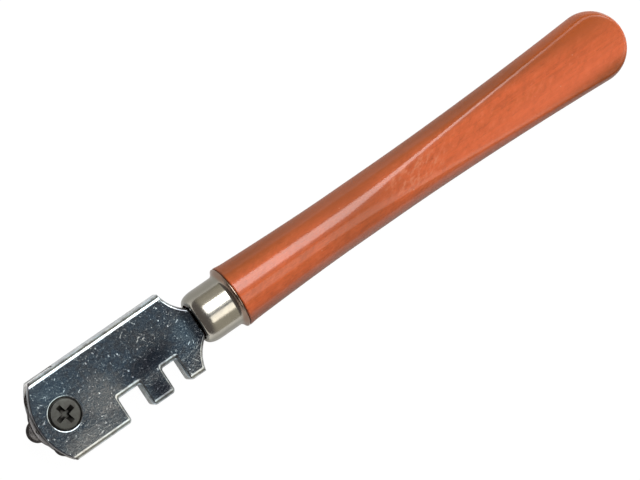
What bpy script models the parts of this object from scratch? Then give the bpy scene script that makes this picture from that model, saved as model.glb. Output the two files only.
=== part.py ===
"""Glass cutter with a turret of six wheels: a wooden handle, a nickel ferrule and a plated head.

X runs along the tool, from the wheel in use at -X to the end of the handle at +X. Z is square to
the flat head, and the breaking notches open towards -Y. The origin is at the bottom centre.
"""

import math

import bmesh
import bpy

MM = 0.001
SMOOTH_ANGLE = math.radians(35)
FLAT_ANGLE = 0.001
WELD_DISTANCE = 0.00001
CUTTER_MARGIN = 2.0 * MM
END_TOLERANCE = 0.1 * MM

# Along the tool, measured from its middle.
WHEEL_TIP_X = -65.0 * MM
HEAD_END_X = -63.1 * MM
FERRULE_FRONT_X = -29.7 * MM
HANDLE_FRONT_X = -21.9 * MM
HANDLE_END_X = 65.0 * MM

# Flat head.
HEAD_THICKNESS = 4.0 * MM
HEAD_HALF_WIDTH = 7.9 * MM
HEAD_END_RADIUS = 12.0 * MM
HEAD_CORNER_RADIUS = 0.7 * MM
HEAD_EDGE_ROUNDING = 0.6 * MM
FORK_GAP = 2.1 * MM
FORK_CUT_RADIUS = 9.0 * MM
FORK_DEPTH = 7.6 * MM
NOTCHES = ((-48.5 * MM, -43.9 * MM), (-39.3 * MM, -36.2 * MM))
NOTCH_ROOF_Y = -3.2 * MM
NOTCH_CORNER_RADIUS = 0.35 * MM
NECK_ARC_RADIUS = 7.8 * MM
NECK_ARC_X = -25.2 * MM
NECK_ARC_Y = 9.3 * MM
TANG_HALF_WIDTH = 1.9 * MM
TANG_TAPER_X = -12.0 * MM
TANG_END_X = -9.0 * MM
TANG_END_HALF_WIDTH = 0.8 * MM

# Turret of wheels.
WHEEL_COUNT = 6
WHEEL_RADIUS = 2.1 * MM
WHEEL_THICKNESS = 0.9 * MM
WHEEL_RIM_THICKNESS = 0.12 * MM
WHEEL_BEVEL_DEPTH = 0.45 * MM
AXLE_RADIUS = 0.5 * MM
TURRET_TIP_RADIUS = 7.3 * MM
TURRET_X = WHEEL_TIP_X + TURRET_TIP_RADIUS
WHEEL_CIRCLE = TURRET_TIP_RADIUS - WHEEL_RADIUS
PLATE_RADIUS = 6.4 * MM
PLATE_INNER_Z = 0.55 * MM
PLATE_OUTER_Z = 0.9 * MM
BUSH_RADIUS = 2.4 * MM
TURNING_CLEARANCE = 0.1 * MM

# Screw and washer in the pocket of the front cheek.
SHANK_RADIUS = 1.4 * MM
SHANK_HOLE_RADIUS = 1.6 * MM
POCKET_RADIUS = 3.0 * MM
POCKET_FLOOR_Z = 1.45 * MM
WASHER_RADIUS = 2.85 * MM
WASHER_Z = (1.53 * MM, 1.71 * MM)
SCREW_HEAD_RADIUS = 2.55 * MM
SCREW_HEAD_Z = (1.79 * MM, 2.24 * MM)
SCREW_HEAD_EDGE = 0.14 * MM
CROSS_LENGTH = 3.7 * MM
CROSS_WIDTH = 0.85 * MM
CROSS_DEPTH = 0.25 * MM
CROSS_TURN = math.radians(14)

# Ferrule.
FERRULE_RADIUS = 4.88 * MM
FERRULE_FLANGE_RADIUS = 5.85 * MM
FERRULE_FLARE_X = -23.9 * MM
FERRULE_FLANGE_LENGTH = 0.45 * MM
FERRULE_FRONT_ROUNDING = 1.0 * MM
FERRULE_OPENING_RADIUS = 3.5 * MM
FERRULE_LIP = 1.0 * MM
FERRULE_BORE_RADIUS = 4.3 * MM

# Handle.
SEAT_GAP = 0.1 * MM
HANDLE_FRONT_RADIUS = 5.82 * MM
WAIST_RADIUS = 5.15 * MM
WAIST_FRONT_X = 1.0 * MM
WAIST_REAR_X = 12.0 * MM
HANDLE_END_RADIUS = 6.68 * MM
FRONT_FLARE_POWER = 2.0
REAR_FLARE_POWER = 1.8
TENON_RADIUS = 4.0 * MM
TENON_FRONT_X = -27.9 * MM
TANG_HOLE_HALF_WIDTH = 2.3 * MM
TANG_HOLE_END_X = -8.5 * MM
FLAT_END_Z = 3.25 * MM
FLAT_SLOPE = 0.0165
FLAT_CURVE = 0.25
FLAT_FRONT_X = 2.0 * MM

AXIS_HEIGHT = FERRULE_FLANGE_RADIUS


def make_material(name, colour, roughness, metallic):
    material = bpy.data.materials.new(name)
    material.use_nodes = True
    shader = material.node_tree.nodes["Principled BSDF"]
    shader.inputs["Base Color"].default_value = (*colour, 1)
    shader.inputs["Roughness"].default_value = roughness
    shader.inputs["Metallic"].default_value = metallic
    return material


def stained_wood():
    return make_material("stained_wood", (0.44, 0.10, 0.035), 0.35, 0)


def bright_nickel():
    return make_material("bright_nickel", (0.55, 0.56, 0.58), 0.15, 1)


def satin_nickel():
    return make_material("satin_nickel", (0.50, 0.48, 0.44), 0.25, 1)


def turret_steel():
    return make_material("turret_steel", (0.30, 0.28, 0.26), 0.4, 1)


def wheel_steel():
    return make_material("wheel_steel", (0.22, 0.21, 0.21), 0.3, 1)


def dark_steel():
    return make_material("dark_steel", (0.16, 0.15, 0.14), 0.45, 1)


def add_object(name, mesh, material, parent):
    obj = bpy.data.objects.new(name, mesh)
    PARTS.objects.link(obj)
    mesh.materials.append(material)
    obj.parent = parent
    return obj


def add_empty(name, location, parent):
    empty = bpy.data.objects.new(name, None)
    PARTS.objects.link(empty)
    empty.location = location
    empty.parent = parent
    return empty


def add_cutter(obj, parent):
    """Puts a helper shape with the cutters, where it never shows."""
    for collection in list(obj.users_collection):
        collection.objects.unlink(obj)
    CUTTERS.objects.link(obj)
    obj.parent = parent
    obj.hide_render = True
    obj.display_type = "WIRE"
    return obj


def shade(mesh):
    mesh.shade_smooth()
    mesh.set_sharp_from_angle(angle=SMOOTH_ANGLE)


def cut(obj, cutter):
    boolean = obj.modifiers.new(f"cut by {cutter.name}", "BOOLEAN")
    boolean.operation = "DIFFERENCE"
    boolean.solver = "EXACT"
    boolean.object = cutter


def arc(centre, radius, start, end, steps):
    """Points along an arc, both ends included."""
    turn = (end - start) / steps
    return [
        (
            centre[0] + radius * math.cos(start + step * turn),
            centre[1] + radius * math.sin(start + step * turn),
        )
        for step in range(steps + 1)
    ]


def fillet(before, corner, after, radius, steps):
    """Points that round one corner of an outline."""
    to_before = (before[0] - corner[0], before[1] - corner[1])
    to_after = (after[0] - corner[0], after[1] - corner[1])
    angle_before = math.atan2(to_before[1], to_before[0])
    angle_after = math.atan2(to_after[1], to_after[0])
    opening = math.remainder(angle_after - angle_before, math.tau)
    half = abs(opening) / 2
    middle = angle_before + opening / 2
    reach = radius / math.sin(half)
    centre = (corner[0] + reach * math.cos(middle), corner[1] + reach * math.sin(middle))
    sweep = math.copysign(math.pi - abs(opening), -opening)
    start = middle + math.pi - sweep / 2
    return arc(centre, radius, start, start + sweep, steps)


def flat_mesh(name, outline, thickness):
    """A closed slab from a flat outline, centred on Z."""
    curve = bpy.data.curves.new(name, "CURVE")
    curve.dimensions = "2D"
    curve.fill_mode = "BOTH"
    curve.extrude = thickness / 2
    spline = curve.splines.new("POLY")
    spline.points.add(len(outline) - 1)
    for point, (x, y) in zip(spline.points, outline):
        point.co = (x, y, 0, 1)
    spline.use_cyclic_u = True
    holder = bpy.data.objects.new(name, curve)
    CUTTERS.objects.link(holder)
    graph = bpy.context.evaluated_depsgraph_get()
    graph.update()
    mesh = bpy.data.meshes.new_from_object(holder.evaluated_get(graph))
    bpy.data.objects.remove(holder)
    model = bmesh.new()
    model.from_mesh(mesh)
    bmesh.ops.remove_doubles(model, verts=model.verts, dist=WELD_DISTANCE)
    bmesh.ops.dissolve_limit(
        model, angle_limit=FLAT_ANGLE, verts=model.verts, edges=model.edges
    )
    model.to_mesh(mesh)
    model.free()
    return mesh


def turned(name, profile, hollow, sides, material, parent):
    """Turns a profile of (radius, height) points about local Z."""
    edges = [(index, index + 1) for index in range(len(profile) - 1)]
    if hollow:
        edges.append((len(profile) - 1, 0))
    mesh = bpy.data.meshes.new(name)
    mesh.from_pydata([(radius, 0, height) for radius, height in profile], edges, [])
    obj = add_object(name, mesh, material, parent)
    screw = obj.modifiers.new("turning", "SCREW")
    screw.steps = sides
    screw.render_steps = sides
    screw.use_merge_vertices = True
    screw.merge_threshold = WELD_DISTANCE
    screw.use_smooth_shade = True
    return obj


def lay_along_tool(obj):
    """Turns a lathe shape so that its own Z points along the tool."""
    obj.rotation_euler = (0, math.pi / 2, 0)


def cylinder_cutter(name, radius, bottom, top, x, sides, parent):
    bpy.ops.mesh.primitive_cylinder_add(
        vertices=sides, radius=radius, depth=top - bottom, location=(x, 0, (top + bottom) / 2)
    )
    cutter = bpy.context.object
    cutter.name = name
    return add_cutter(cutter, parent)


def box_cutter(name, low, high, parent):
    bpy.ops.mesh.primitive_cube_add(size=1)
    cutter = bpy.context.object
    cutter.name = name
    cutter.scale = [end - start for start, end in zip(low, high)]
    cutter.location = [(start + end) / 2 for start, end in zip(low, high)]
    return add_cutter(cutter, parent)


# Handle


def handle_radius(x):
    """Radius of the wood: it flares from a slim waist to both ends."""
    if x < WAIST_FRONT_X:
        part = (WAIST_FRONT_X - x) / (WAIST_FRONT_X - HANDLE_FRONT_X)
        return WAIST_RADIUS + (HANDLE_FRONT_RADIUS - WAIST_RADIUS) * part**FRONT_FLARE_POWER
    part = max(0, x - WAIST_REAR_X) / (HANDLE_END_X - HANDLE_END_RADIUS - WAIST_REAR_X)
    return WAIST_RADIUS + (HANDLE_END_RADIUS - WAIST_RADIUS) * part**REAR_FLARE_POWER


def flat_height(x):
    """Height of the front flat above the handle's axis."""
    back = HANDLE_END_X - x
    return FLAT_END_Z + FLAT_SLOPE * back + FLAT_CURVE * back**2


def handle_profile():
    dome_steps = 8
    body_steps = 20
    dome_x = HANDLE_END_X - HANDLE_END_RADIUS
    dome = [
        (HANDLE_END_RADIUS * math.sin(angle), dome_x + HANDLE_END_RADIUS * math.cos(angle))
        for angle in (math.pi / 2 * step / dome_steps for step in range(dome_steps))
    ]
    stations = [
        dome_x + (HANDLE_FRONT_X - dome_x) * step / body_steps
        for step in range(body_steps + 1)
    ]
    body = [(handle_radius(x), x) for x in stations]
    tenon = [
        (TENON_RADIUS, HANDLE_FRONT_X),
        (TENON_RADIUS, TENON_FRONT_X),
        (0, TENON_FRONT_X),
    ]
    return dome + body + tenon


def flat_cutter(parent):
    """A slab whose lower face is the gently curved front flat of the handle."""
    steps = 8
    reach = HANDLE_END_RADIUS + CUTTER_MARGIN
    past_end = HANDLE_END_X + CUTTER_MARGIN
    stations = [FLAT_FRONT_X + (past_end - FLAT_FRONT_X) * step / steps for step in range(steps + 1)]
    outline = [(x, flat_height(x)) for x in stations]
    outline += [(past_end, reach), (FLAT_FRONT_X, reach)]
    mesh = flat_mesh("front_flat_cutter", outline, 2 * reach)
    cutter = bpy.data.objects.new("front_flat_cutter", mesh)
    cutter.rotation_euler = (math.pi / 2, 0, 0)
    return add_cutter(cutter, parent)


def build_handle(parent):
    handle = turned("handle", handle_profile(), False, 48, stained_wood(), parent)
    lay_along_tool(handle)
    front = flat_cutter(parent)
    rear = bpy.data.objects.new("rear_flat_cutter", front.data)
    rear.rotation_euler = (-math.pi / 2, 0, 0)
    add_cutter(rear, parent)
    hole = box_cutter(
        "tang_hole_cutter",
        (TENON_FRONT_X - CUTTER_MARGIN, -TANG_HOLE_HALF_WIDTH, -TANG_HOLE_HALF_WIDTH),
        (TANG_HOLE_END_X, TANG_HOLE_HALF_WIDTH, TANG_HOLE_HALF_WIDTH),
        parent,
    )
    for cutter in (front, rear, hole):
        cut(handle, cutter)


# Ferrule


def build_ferrule(parent):
    flare_steps = 4
    rounding_steps = 4
    rear_x = HANDLE_FRONT_X - SEAT_GAP
    flange_x = rear_x - FERRULE_FLANGE_LENGTH
    rise = FERRULE_FLANGE_RADIUS - FERRULE_RADIUS
    profile = [(FERRULE_FLANGE_RADIUS, rear_x)]
    for step in range(flare_steps + 1):
        part = step / flare_steps
        x = flange_x + (FERRULE_FLARE_X - flange_x) * part
        profile.append((FERRULE_RADIUS + rise * (1 - part) ** 2, x))
    for step in range(rounding_steps + 1):
        angle = math.pi / 2 * step / rounding_steps
        inset = FERRULE_FRONT_ROUNDING * (1 - math.cos(angle))
        x = FERRULE_FRONT_X + FERRULE_FRONT_ROUNDING * (1 - math.sin(angle))
        profile.append((FERRULE_RADIUS - inset, x))
    profile += [
        (FERRULE_OPENING_RADIUS, FERRULE_FRONT_X),
        (FERRULE_OPENING_RADIUS, FERRULE_FRONT_X + FERRULE_LIP),
        (FERRULE_BORE_RADIUS, FERRULE_FRONT_X + FERRULE_LIP),
        (FERRULE_BORE_RADIUS, rear_x),
    ]
    ferrule = turned("ferrule", profile, True, 48, satin_nickel(), parent)
    lay_along_tool(ferrule)


# Head


def end_arc():
    centre = (HEAD_END_X + HEAD_END_RADIUS, 0)
    spread = math.asin(HEAD_HALF_WIDTH / HEAD_END_RADIUS)
    return arc(centre, HEAD_END_RADIUS, math.pi - spread, math.pi + spread, 10)


def neck_arc(side):
    """The hollow curve from the head's shoulder down to the tang, on the side +1 or -1."""
    start = math.pi + math.asin((NECK_ARC_Y - HEAD_HALF_WIDTH) / NECK_ARC_RADIUS)
    end = math.pi + math.asin((NECK_ARC_Y - TANG_HALF_WIDTH) / NECK_ARC_RADIUS)
    points = arc((NECK_ARC_X, NECK_ARC_Y), NECK_ARC_RADIUS, start, end, 7)
    return [(x, side * y) for x, y in points]


def head_corners():
    """The head's outline as (point, rounding) pairs, anticlockwise from the top of its end."""
    corners = [(point, 0) for point in end_arc()]
    for left, right in NOTCHES:
        corners += [
            ((left, -HEAD_HALF_WIDTH), HEAD_CORNER_RADIUS),
            ((left, NOTCH_ROOF_Y), NOTCH_CORNER_RADIUS),
            ((right, NOTCH_ROOF_Y), NOTCH_CORNER_RADIUS),
            ((right, -HEAD_HALF_WIDTH), HEAD_CORNER_RADIUS),
        ]
    corners += [(point, 0) for point in neck_arc(-1)]
    corners += [
        ((TANG_TAPER_X, -TANG_HALF_WIDTH), 0),
        ((TANG_END_X, -TANG_END_HALF_WIDTH), 0),
        ((TANG_END_X, TANG_END_HALF_WIDTH), 0),
        ((TANG_TAPER_X, TANG_HALF_WIDTH), 0),
    ]
    corners += [(point, 0) for point in reversed(neck_arc(1))]
    return corners


def head_outline():
    corners = head_corners()
    outline = []
    for index, (point, radius) in enumerate(corners):
        if radius == 0:
            outline.append(point)
            continue
        before = corners[index - 1][0]
        after = corners[(index + 1) % len(corners)][0]
        outline += fillet(before, point, after, radius, 2)
    return outline


def weigh_rounded_edges(mesh):
    """Marks the edges of both flat faces for rounding, except along the sharp end."""
    sharp_end = end_arc()[0][0] + END_TOLERANCE
    model = bmesh.new()
    model.from_mesh(mesh)
    weights = model.edges.layers.float.new("bevel_weight_edge")
    for edge in model.edges:
        level = abs(edge.verts[0].co.z - edge.verts[1].co.z) < WELD_DISTANCE
        behind_end = max(vert.co.x for vert in edge.verts) > sharp_end
        edge[weights] = 1 if level and behind_end else 0
    model.to_mesh(mesh)
    model.free()


def build_head(parent):
    mesh = flat_mesh("head", head_outline(), HEAD_THICKNESS)
    weigh_rounded_edges(mesh)
    head = add_object("head", mesh, bright_nickel(), parent)
    rounding = head.modifiers.new("edge rounding", "BEVEL")
    rounding.limit_method = "WEIGHT"
    rounding.width = HEAD_EDGE_ROUNDING
    rounding.segments = 2
    fork_x = TURRET_X + FORK_DEPTH - FORK_CUT_RADIUS
    outside = HEAD_END_X - CUTTER_MARGIN
    wide = HEAD_HALF_WIDTH + CUTTER_MARGIN
    cutters = (
        cylinder_cutter(
            "fork_round_cutter", FORK_CUT_RADIUS, -FORK_GAP / 2, FORK_GAP / 2, fork_x, 64, parent
        ),
        box_cutter(
            "fork_open_cutter",
            (outside, -wide, -FORK_GAP / 2),
            (fork_x, wide, FORK_GAP / 2),
            parent,
        ),
        cylinder_cutter(
            "pocket_cutter", POCKET_RADIUS, POCKET_FLOOR_Z, 2 * HEAD_THICKNESS, TURRET_X, 40, parent
        ),
        cylinder_cutter(
            "shank_hole_cutter",
            SHANK_HOLE_RADIUS,
            -HEAD_THICKNESS,
            HEAD_THICKNESS,
            TURRET_X,
            24,
            parent,
        ),
    )
    for cutter in cutters:
        cut(head, cutter)


# Turret


def wheel_positions():
    """Centres of the wheels about the turret's axis, the first one pointing out of the end."""
    step = math.tau / WHEEL_COUNT
    angles = [math.pi + index * step for index in range(WHEEL_COUNT)]
    return [(WHEEL_CIRCLE * math.cos(angle), WHEEL_CIRCLE * math.sin(angle)) for angle in angles]


def build_turret_plate(name, side, parent, hole_cutters):
    """A thin round plate on the side +1 (front) or -1 (rear) of the wheels."""
    top, bottom = sorted((side * PLATE_OUTER_Z, side * PLATE_INNER_Z), reverse=True)
    bore = SHANK_HOLE_RADIUS
    profile = [(PLATE_RADIUS, top), (PLATE_RADIUS, bottom), (bore, bottom), (bore, top)]
    plate = turned(name, profile, True, 36, turret_steel(), parent)
    for cutter in hole_cutters:
        cut(plate, cutter)


def build_turret(parent):
    turret = add_empty("turret_axis", (TURRET_X, 0, 0), parent)
    hole_cutters = []
    for number, (x, y) in enumerate(wheel_positions(), 1):
        cutter = cylinder_cutter(
            f"axle_hole_cutter_{number}",
            AXLE_RADIUS + TURNING_CLEARANCE,
            -HEAD_THICKNESS,
            HEAD_THICKNESS,
            x,
            12,
            turret,
        )
        cutter.location.y = y
        hole_cutters.append(cutter)
    build_turret_plate("turret_front_plate", 1, turret, hole_cutters)
    build_turret_plate("turret_rear_plate", -1, turret, hole_cutters)
    half = WHEEL_THICKNESS / 2
    bush_profile = [
        (BUSH_RADIUS, half),
        (BUSH_RADIUS, -half),
        (SHANK_HOLE_RADIUS, -half),
        (SHANK_HOLE_RADIUS, half),
    ]
    turned("turret_bush", bush_profile, True, 28, turret_steel(), turret)
    build_wheels(turret)


def build_wheels(turret):
    half = WHEEL_THICKNESS / 2
    half_rim = WHEEL_RIM_THICKNESS / 2
    shoulder = WHEEL_RADIUS - WHEEL_BEVEL_DEPTH
    bore = AXLE_RADIUS + TURNING_CLEARANCE
    wheel_profile = [
        (shoulder, half),
        (WHEEL_RADIUS, half_rim),
        (WHEEL_RADIUS, -half_rim),
        (shoulder, -half),
        (bore, -half),
        (bore, half),
    ]
    axle_profile = [
        (0, PLATE_OUTER_Z),
        (AXLE_RADIUS, PLATE_OUTER_Z),
        (AXLE_RADIUS, -PLATE_OUTER_Z),
        (0, -PLATE_OUTER_Z),
    ]
    wheel_material = wheel_steel()
    axle_material = turret_steel()
    for number, (x, y) in enumerate(wheel_positions(), 1):
        station = add_empty(f"wheel_station_{number}", (x, y, 0), turret)
        turned(f"cutting_wheel_{number}", wheel_profile, True, 28, wheel_material, station)
        turned(f"wheel_axle_{number}", axle_profile, False, 12, axle_material, station)


# Screw


def build_washer(parent):
    """A plain ring that stays in the pocket while the screw turns."""
    bottom, top = WASHER_Z
    profile = [
        (WASHER_RADIUS, top),
        (WASHER_RADIUS, bottom),
        (SHANK_HOLE_RADIUS, bottom),
        (SHANK_HOLE_RADIUS, top),
    ]
    turned("screw_washer", profile, True, 36, dark_steel(), parent)


def cross_cutter(parent):
    """A cross-shaped bar, square to the screw's head."""
    arm = CROSS_LENGTH / 2
    half = CROSS_WIDTH / 2
    quarter = [(arm, -half), (arm, half), (half, half)]
    outline = []
    for turn in range(4):
        cosine = round(math.cos(turn * math.pi / 2))
        sine = round(math.sin(turn * math.pi / 2))
        outline += [(x * cosine - y * sine, x * sine + y * cosine) for x, y in quarter]
    cutter = bpy.data.objects.new("cross_cutter", flat_mesh("cross_cutter", outline, 2 * CROSS_DEPTH))
    cutter.location.z = SCREW_HEAD_Z[1]
    cutter.rotation_euler.z = CROSS_TURN
    return add_cutter(cutter, parent)


def build_screw(parent):
    bottom, top = SCREW_HEAD_Z
    profile = [
        (0, top),
        (SCREW_HEAD_RADIUS - SCREW_HEAD_EDGE, top),
        (SCREW_HEAD_RADIUS, top - SCREW_HEAD_EDGE),
        (SCREW_HEAD_RADIUS, bottom),
        (SHANK_RADIUS, bottom),
        (SHANK_RADIUS, -HEAD_THICKNESS / 2),
        (0, -HEAD_THICKNESS / 2),
    ]
    screw = turned("clamp_screw", profile, False, 36, dark_steel(), parent)
    cut(screw, cross_cutter(parent))


def main():
    for obj in list(bpy.data.objects):
        bpy.data.objects.remove(obj)
    for collection in (PARTS, CUTTERS):
        bpy.context.scene.collection.children.link(collection)
    tool_axis = add_empty("tool_axis", (0, 0, AXIS_HEIGHT), None)
    build_handle(tool_axis)
    build_ferrule(tool_axis)
    build_head(tool_axis)
    build_turret(tool_axis)
    screw_axis = add_empty("screw_axis", (TURRET_X, 0, 0), tool_axis)
    build_washer(screw_axis)
    build_screw(screw_axis)


PARTS = bpy.data.collections.new("glass_cutter")
CUTTERS = bpy.data.collections.new("cutters")
main()
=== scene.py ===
"""Glass cutter: finished pieces, finishes, studio and camera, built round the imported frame.

X runs along the tool from the wheel in use to the end of the handle. Z is square to the flat
head, and the breaking notches open towards -Y.
"""

import math

import bmesh
import bpy
from mathutils import Matrix, Vector


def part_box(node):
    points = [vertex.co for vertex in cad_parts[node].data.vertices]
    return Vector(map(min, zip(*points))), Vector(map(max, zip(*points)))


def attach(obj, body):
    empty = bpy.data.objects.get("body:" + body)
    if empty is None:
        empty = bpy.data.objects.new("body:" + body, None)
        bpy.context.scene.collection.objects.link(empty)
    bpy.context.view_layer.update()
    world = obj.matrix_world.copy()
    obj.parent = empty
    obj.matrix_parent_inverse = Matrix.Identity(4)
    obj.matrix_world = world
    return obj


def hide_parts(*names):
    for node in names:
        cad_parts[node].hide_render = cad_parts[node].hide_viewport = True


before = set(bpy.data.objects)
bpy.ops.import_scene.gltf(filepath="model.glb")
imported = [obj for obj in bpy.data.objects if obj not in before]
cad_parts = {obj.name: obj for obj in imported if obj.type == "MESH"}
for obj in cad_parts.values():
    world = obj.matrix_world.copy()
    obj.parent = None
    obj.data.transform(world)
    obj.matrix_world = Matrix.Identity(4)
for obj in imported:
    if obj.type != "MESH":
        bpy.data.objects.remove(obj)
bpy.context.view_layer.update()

MM = 0.001
SHARP_ANGLE = math.radians(38)
FACE_WEIGHT = 90
OVERSHOOT = 2 * MM

# Places read from the frame.
HANDLE_LOW, HANDLE_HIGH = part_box("handle")
FERRULE_LOW, FERRULE_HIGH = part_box("ferrule")
HEAD_LOW, HEAD_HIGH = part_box("head")
SCREW_LOW, SCREW_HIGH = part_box("clamp_screw")
WASHER_LOW, WASHER_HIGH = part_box("screw_washer")
SPACER_LOW, SPACER_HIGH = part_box("turret_bush")
WHEEL_LOW, WHEEL_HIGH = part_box("cutting_wheel_1")
PIN_LOW, PIN_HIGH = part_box("wheel_axle_1")
AXIS_Z = (HEAD_LOW.z + HEAD_HIGH.z) / 2
TURRET_X = (SCREW_LOW.x + SCREW_HIGH.x) / 2
WHEEL_COUNT = 6

# Handle. X is in metres from the frame's middle.
HANDLE_FRONT_X = -21.9 * MM
HANDLE_END_X = HANDLE_HIGH.x
HANDLE_SIDES = 160
HANDLE_STATIONS = 110
FRONT_EDGE = 0.35 * MM
HANDLE_FRONT_RADIUS = 5.77 * MM
WAIST_RADIUS = 5.15 * MM
WAIST_FRONT_X = 1.0 * MM
WAIST_REAR_X = 12.0 * MM
HANDLE_END_RADIUS = 6.68 * MM
FRONT_FLARE_POWER = 1.5
FRONT_CURL = 0.16 * MM
FRONT_CURL_LENGTH = 2.2 * MM
REAR_FLARE_POWER = 1.8
FLAT_END_Z = 3.25 * MM
FLAT_SLOPE = 0.0165
FLAT_CURVE = 0.25
FLAT_RIDGE_POWER = 44
TENON_RADIUS = 4.0 * MM
TANG_HOLE_HALF_WIDTH = 2.3 * MM
TANG_HOLE_END_X = -8.5 * MM
DOME_STEPS = 22
EDGE_STEPS = 6

# Ferrule.
FERRULE_SIDES = 144
FERRULE_CURVE_STEPS = 14
FERRULE_RADIUS = 4.88 * MM
FERRULE_FLARE_X = -23.2 * MM
FERRULE_FLANGE_LENGTH = 0.14 * MM
FERRULE_FRONT_ROUNDING = 1.0 * MM
FERRULE_FRONT_TAPER = 2.4 * MM
FERRULE_OPENING_RADIUS = 3.5 * MM
FERRULE_LIP = 1.0 * MM
FERRULE_BORE_RADIUS = 4.3 * MM

# Flat head.
HEAD_HALF_WIDTH = HEAD_HIGH.y
HEAD_HALF_THICKNESS = (HEAD_HIGH.z - HEAD_LOW.z) / 2
HEAD_END_RADIUS = 12.0 * MM
HEAD_CORNER_RADIUS = 0.75 * MM
NOTCHES = ((-48.5 * MM, -43.9 * MM), (-39.3 * MM, -36.2 * MM))
NOTCH_ROOF_Y = -3.2 * MM
NOTCH_CORNER_RADIUS = 0.35 * MM
NECK_ARC_RADIUS = 7.8 * MM
NECK_ARC_X = -25.2 * MM
NECK_ARC_Y = 9.3 * MM
TANG_HALF_WIDTH = 1.9 * MM
TANG_TAPER_X = -12.0 * MM
TANG_END_HALF_WIDTH = 0.8 * MM
FRONT_ROLL_WIDTH = 1.0 * MM
FRONT_ROLL_DEPTH = 0.8 * MM
REAR_ROLL_WIDTH = 0.4 * MM
REAR_ROLL_DEPTH = 0.3 * MM
END_EDGE_SHARE = 0.2
SIDE_EDGE_SHARE = 0.5
NECK_EDGE_SHARE = 0.6
INNER_CORNER_GROWTH = 0.25
ROLL_STEPS = 8
CORNER_STEPS = 8
END_ARC_STEPS = 48
NECK_ARC_STEPS = 36
FORK_ARC_STEPS = 96
LEAST_RADIUS = 0.004 * MM
FORK_GAP = 2.1 * MM
FORK_CUT_RADIUS = 9.0 * MM
FORK_DEPTH = 7.6 * MM
POCKET_RADIUS = 2.88 * MM
POCKET_FLOOR_DEPTH = 0.55 * MM
POCKET_RIM_WIDTH = 0.30 * MM
POCKET_RIM_DEPTH = 0.24 * MM
SCREW_HOLE_RADIUS = 1.6 * MM

# Turret.
LATHE_SIDES = 96
WHEEL_SIDES = 72
PIN_SIDES = 40
PIN_HOLE_SIDES = 32
SMALL_EDGE_STEPS = 4
WHEEL_BORE_RADIUS = 0.6 * MM
WHEEL_SHOULDER_RADIUS = 1.65 * MM
WHEEL_EDGE_RADIUS = 0.06 * MM
PIN_RADIUS = 0.5 * MM
PIN_DOME = 0.09 * MM
DISC_EDGE = 0.06 * MM
DISC_TRIM = 0.35 * MM

# Screw.
SHANK_RADIUS = 1.4 * MM
SCREW_FACE_RADIUS = 2.65 * MM
SCREW_HEAD_EDGE = 0.16 * MM
SCREW_HEAD_CLEARANCE_SHARE = 0.15
CROSS_ARM = 1.84 * MM
CROSS_HALF_WIDTH = 0.46 * MM
CROSS_FOOT_ARM = 0.85 * MM
CROSS_FOOT_HALF_WIDTH = 0.26 * MM
CROSS_DEPTH = 0.95 * MM
CROSS_TURN = math.radians(14)
THREAD_PITCH = 0.5 * MM
THREAD_DEPTH = 0.16 * MM


# Mesh tools


def make_piece(name, mesh, material, body, slot, *nodes):
    """Places a finished mesh on its body, in the room of the CAD nodes that it stands for."""
    piece = bpy.data.objects.new(name, mesh)
    bpy.context.scene.collection.objects.link(piece)
    mesh.materials.clear()
    mesh.materials.append(material)
    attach(piece, body)
    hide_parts(*nodes)
    return piece


def shade(mesh):
    """Smooth shading that keeps every edge sharper than SHARP_ANGLE crisp."""
    mesh.shade_smooth()
    mesh.set_sharp_from_angle(angle=SHARP_ANGLE)


def even_faces(piece):
    """Keeps large flat faces flat beside their rounded edges."""
    evening = piece.modifiers.new("even faces", "WEIGHTED_NORMAL")
    evening.weight = FACE_WEIGHT
    evening.keep_sharp = True


def lofted(name, rings, closed_loop=False):
    """A closed skin over rings of equal length, with its two ends capped or joined in a loop."""
    model = bmesh.new()
    rows = [[model.verts.new(point) for point in ring] for ring in rings]
    pairs = list(zip(rows, rows[1:]))
    if closed_loop:
        pairs.append((rows[-1], rows[0]))
    for lower, upper in pairs:
        for index in range(len(lower)):
            after = (index + 1) % len(lower)
            model.faces.new((lower[index], lower[after], upper[after], upper[index]))
    if not closed_loop:
        model.faces.new(list(reversed(rows[0])))
        model.faces.new(rows[-1])
    bmesh.ops.remove_doubles(model, verts=model.verts, dist=LEAST_RADIUS / 4)
    bmesh.ops.recalc_face_normals(model, faces=model.faces)
    mesh = bpy.data.meshes.new(name)
    model.to_mesh(mesh)
    model.free()
    shade(mesh)
    return mesh


def arc(centre, radius, start, end, steps):
    """Points along an arc, both ends included."""
    turn = (end - start) / steps
    angles = [start + step * turn for step in range(steps + 1)]
    return [(centre[0] + radius * math.cos(a), centre[1] + radius * math.sin(a)) for a in angles]


def fillet(before, corner, after, radius, steps):
    """Points that round one corner of an outline."""
    angle_before = math.atan2(before[1] - corner[1], before[0] - corner[0])
    angle_after = math.atan2(after[1] - corner[1], after[0] - corner[0])
    opening = math.remainder(angle_after - angle_before, math.tau)
    middle = angle_before + opening / 2
    reach = radius / math.sin(abs(opening) / 2)
    centre = (corner[0] + reach * math.cos(middle), corner[1] + reach * math.sin(middle))
    sweep = math.copysign(math.pi - abs(opening), -opening)
    start = middle + math.pi - sweep / 2
    return arc(centre, radius, start, start + sweep, steps)


def rounded_outline(corners, steps):
    """An outline from (point, rounding) pairs. A rounding of zero leaves the point as it is."""
    outline = []
    for index, (point, radius) in enumerate(corners):
        if radius == 0:
            outline.append(point)
            continue
        before = corners[index - 1][0]
        after = corners[(index + 1) % len(corners)][0]
        outline += fillet(before, point, after, radius, steps)
    return outline


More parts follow.
